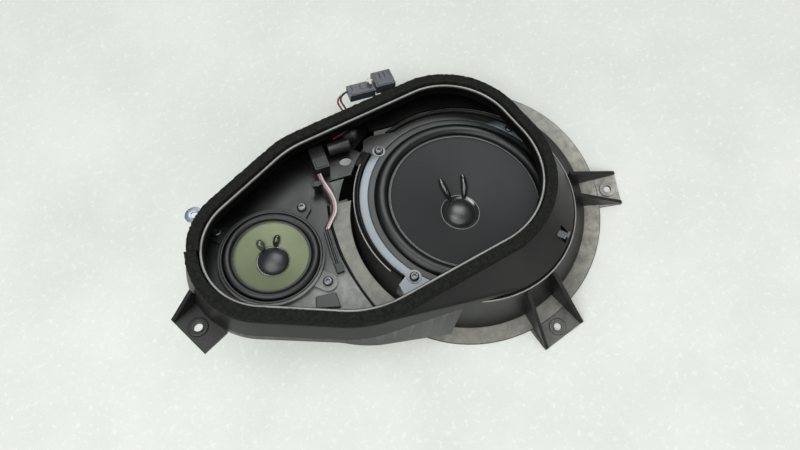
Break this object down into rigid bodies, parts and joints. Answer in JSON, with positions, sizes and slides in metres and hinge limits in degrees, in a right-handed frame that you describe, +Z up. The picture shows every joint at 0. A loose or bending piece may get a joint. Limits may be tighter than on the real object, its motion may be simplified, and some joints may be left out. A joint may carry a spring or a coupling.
{
  "type": "car door speaker pod",
  "caption": "Car door speaker pod: a flanged drum with a woofer, and an egg-shaped gasketed collar holding a small midrange driver, wiring and mounting brackets.",
  "frame": {"origin": "bottom centre of the whole pod, level with the underside of the mounting flange", "axes": "+X from the small driver towards the woofer, +Y towards the harness connector, +Z up from the mounting flange"},
  "size_m": [0.3426, 0.249, 0.1238],
  "materials": {
    "grey_plastic": "moulded nylon, satin",
    "olive_cone": "coated paper pulp, olive",
    "dust_cap_black": "satin dome",
    "kraft_former": "kraft paper and fibre board",
    "copper_wire": "enamelled copper winding",
    "glue": "set adhesive",
    "black_rubber": "soft, slight sheen",
    "spider_cloth": "resin-dipped cloth",
    "zinc_steel": "zinc-plated steel",
    "ferrite": "sintered ferrite",
    "dark_steel": "dark zinc-plated steel",
    "black_plastic": "moulded ABS, satin",
    "foam": "open-cell foam, rough",
    "basket_paint": "satin paint on pressed steel",
    "dark_cone": "coated paper pulp",
    "white_pvc": "PVC sheath",
    "black_pvc": "PVC sheath",
    "red_pvc": "PVC sheath",
    "pink_pvc": "PVC sheath",
    "bright_steel": "bright spring steel"
  },
  "bodies": {
    "housing": {"midrange_basket": "grey_plastic", "midrange_surround": "black_rubber", "midrange_spider": "spider_cloth", "midrange_front_plate": "zinc_steel", "midrange_ring_magnet": "ferrite", "midrange_back_plate_and_pole": "zinc_steel", "midrange_terminal_board": "kraft_former", "midrange_screw_1": "dark_steel", "midrange_screw_2": "dark_steel", "midrange_screw_3": "dark_steel", "midrange_screw_4": "dark_steel", "egg_collar": "black_plastic", "foam_gasket": "foam", "woofer_basket": "basket_paint", "woofer_surround": "black_rubber", "woofer_spider": "spider_cloth", "woofer_front_plate": "zinc_steel", "woofer_ring_magnet": "ferrite", "woofer_back_plate_and_pole": "zinc_steel", "woofer_terminal_board": "kraft_former", "woofer_screw_1": "dark_steel", "woofer_screw_2": "dark_steel", "woofer_screw_3": "dark_steel", "woofer_screw_4": "dark_steel", "harness_socket": "grey_plastic", "socket_bracket": "black_plastic", "harness_plug": "black_plastic", "locking_tab": "white_pvc", "crossover_connector": "black_plastic", "crossover_capacitor": "black_pvc", "wire_post": "grey_plastic", "harness_lead_red": "red_pvc", "harness_lead_black": "black_pvc", "inner_lead_white": "white_pvc", "inner_lead_pink": "pink_pvc", "inner_lead_black": "black_pvc", "wire_sleeve": "black_rubber", "rubber_pad": "black_rubber", "collar_clip": "dark_steel", "spring_clip": "bright_steel", "drum_housing": "black_plastic"},
    "woofer_moving": {"woofer_cone": "dark_cone", "woofer_dust_cap": "dust_cap_black", "woofer_coil_former": "kraft_former", "woofer_voice_coil": "copper_wire", "woofer_lead_glue_left": "glue", "woofer_lead_glue_right": "glue"},
    "midrange_moving": {"midrange_cone": "olive_cone", "midrange_dust_cap": "dust_cap_black", "midrange_coil_former": "kraft_former", "midrange_voice_coil": "copper_wire", "midrange_lead_glue_left": "glue", "midrange_lead_glue_right": "glue"}
  },
  "joints": [
    {"name": "woofer_stroke", "type": "slide", "parent": "housing", "child": "woofer_moving", "axis": [0.2098, 0.1737, 0.9622], "range_m": [-0.004, 0.004], "stiffness_N_per_m": 1500, "deforming": ["woofer_surround", "woofer_spider"]},
    {"name": "midrange_stroke", "type": "slide", "parent": "housing", "child": "midrange_moving", "axis": [0.2098, 0.1737, 0.9622], "range_m": [-0.001, 0.001], "stiffness_N_per_m": 1500, "deforming": ["midrange_surround", "midrange_spider"]}
  ]
}
